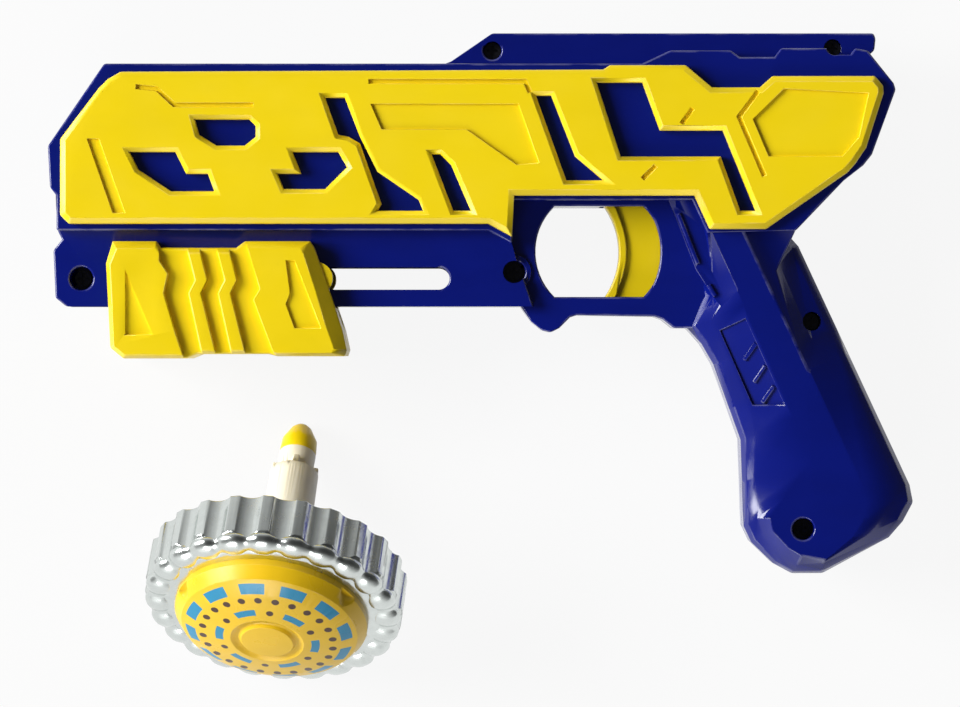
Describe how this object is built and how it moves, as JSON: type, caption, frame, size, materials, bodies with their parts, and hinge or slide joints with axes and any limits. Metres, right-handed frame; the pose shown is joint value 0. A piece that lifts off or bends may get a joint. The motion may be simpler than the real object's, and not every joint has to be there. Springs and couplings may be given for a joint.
{
  "type": "spinning top launcher",
  "caption": "Pistol-shaped toy launcher with a sliding pump grip, geared drive head and sprung trigger, and the ribbed spinning top that it drives lying beside it.",
  "frame": {"origin": "on the floor, at the middle of the footprint of the launcher and its top", "axes": "+X from muzzle to grip, +Y from grip foot to top rail, +Z out of the launcher's left side, which faces up because it lies on its right side"},
  "size_m": [0.2, 0.1498, 0.0544],
  "materials": {
    "blue_plastic": "gloss",
    "yellow_plastic": "satin gloss",
    "cap_plastic": "satin gloss with a printed ring",
    "white_plastic": "satin",
    "grey_plastic": "satin",
    "screw_steel": "plain",
    "spring_steel": "drawn wire",
    "chrome": "bright plated"
  },
  "bodies": {
    "case": {"left_shell": "blue_plastic", "right_shell": "blue_plastic", "left_panel": "yellow_plastic", "right_panel": "yellow_plastic", "case_screws": "screw_steel", "spring_rod": "screw_steel", "gear_arbor": "screw_steel", "front_bush": "grey_plastic", "rear_bush": "grey_plastic", "sear_pin": "screw_steel", "main_spring": "spring_steel", "trigger_spring": "spring_steel", "sear_spring": "spring_steel"},
    "pump": {"pump_left": "yellow_plastic", "pump_right": "yellow_plastic", "pump_screws": "screw_steel", "rack_slider": "white_plastic"},
    "gear": {"crown_gear": "white_plastic"},
    "drive": {"output_shaft": "screw_steel", "shaft_pinion": "screw_steel", "launch_head": "grey_plastic"},
    "trigger": {"trigger": "yellow_plastic"},
    "sear": {"sear": "grey_plastic"},
    "top": {"top_ring": "chrome", "top_cap": "cap_plastic", "top_weight": "screw_steel", "top_hub": "white_plastic", "top_tip": "yellow_plastic", "top_screws": "screw_steel"}
  },
  "joints": [
    {"name": "pump_slide", "type": "slide", "parent": "case", "child": "pump", "axis": [1, 0, 0], "range_m": [0, 0.028], "stiffness_N_per_m": 150, "springref_m": -0.015, "deforming": ["main_spring"]},
    {"name": "crown_spin", "type": "hinge", "parent": "case", "child": "gear", "pos_m": [-0.04503, 0.0386, 0.018], "axis": [0, 0, 1], "range_deg": [-1, 270]},
    {"name": "output_spin", "type": "hinge", "parent": "case", "child": "drive", "pos_m": [-0.09003, 0.0386, 0.018], "axis": [1, 0, 0], "range_deg": [-1340, 1]},
    {"name": "trigger_slide", "type": "slide", "parent": "case", "child": "trigger", "axis": [1, 0, 0], "range_m": [0, 0.004], "stiffness_N_per_m": 300, "springref_m": -0.005, "deforming": ["trigger_spring"]},
    {"name": "sear_pivot", "type": "hinge", "parent": "case", "child": "sear", "pos_m": [0.00597, 0.0421, 0.018], "axis": [0, 0, 1], "range_deg": [-19.2, 0.1], "deforming": ["sear_spring"]},
    {"name": "top_spin", "type": "hinge", "parent": "case", "child": "top", "pos_m": [-0.04703, -0.0495, 0.02437], "axis": [0.1135, 0.8077, -0.5786], "continuous": true}
  ],
  "couplings": [
    {"joint": "crown_spin", "follows": "pump_slide", "rad_per_m": 166.67},
    {"joint": "output_spin", "follows": "pump_slide", "rad_per_m": -833.33},
    {"joint": "sear_pivot", "follows": "trigger_slide", "rad_per_m": -83.333}
  ]
}
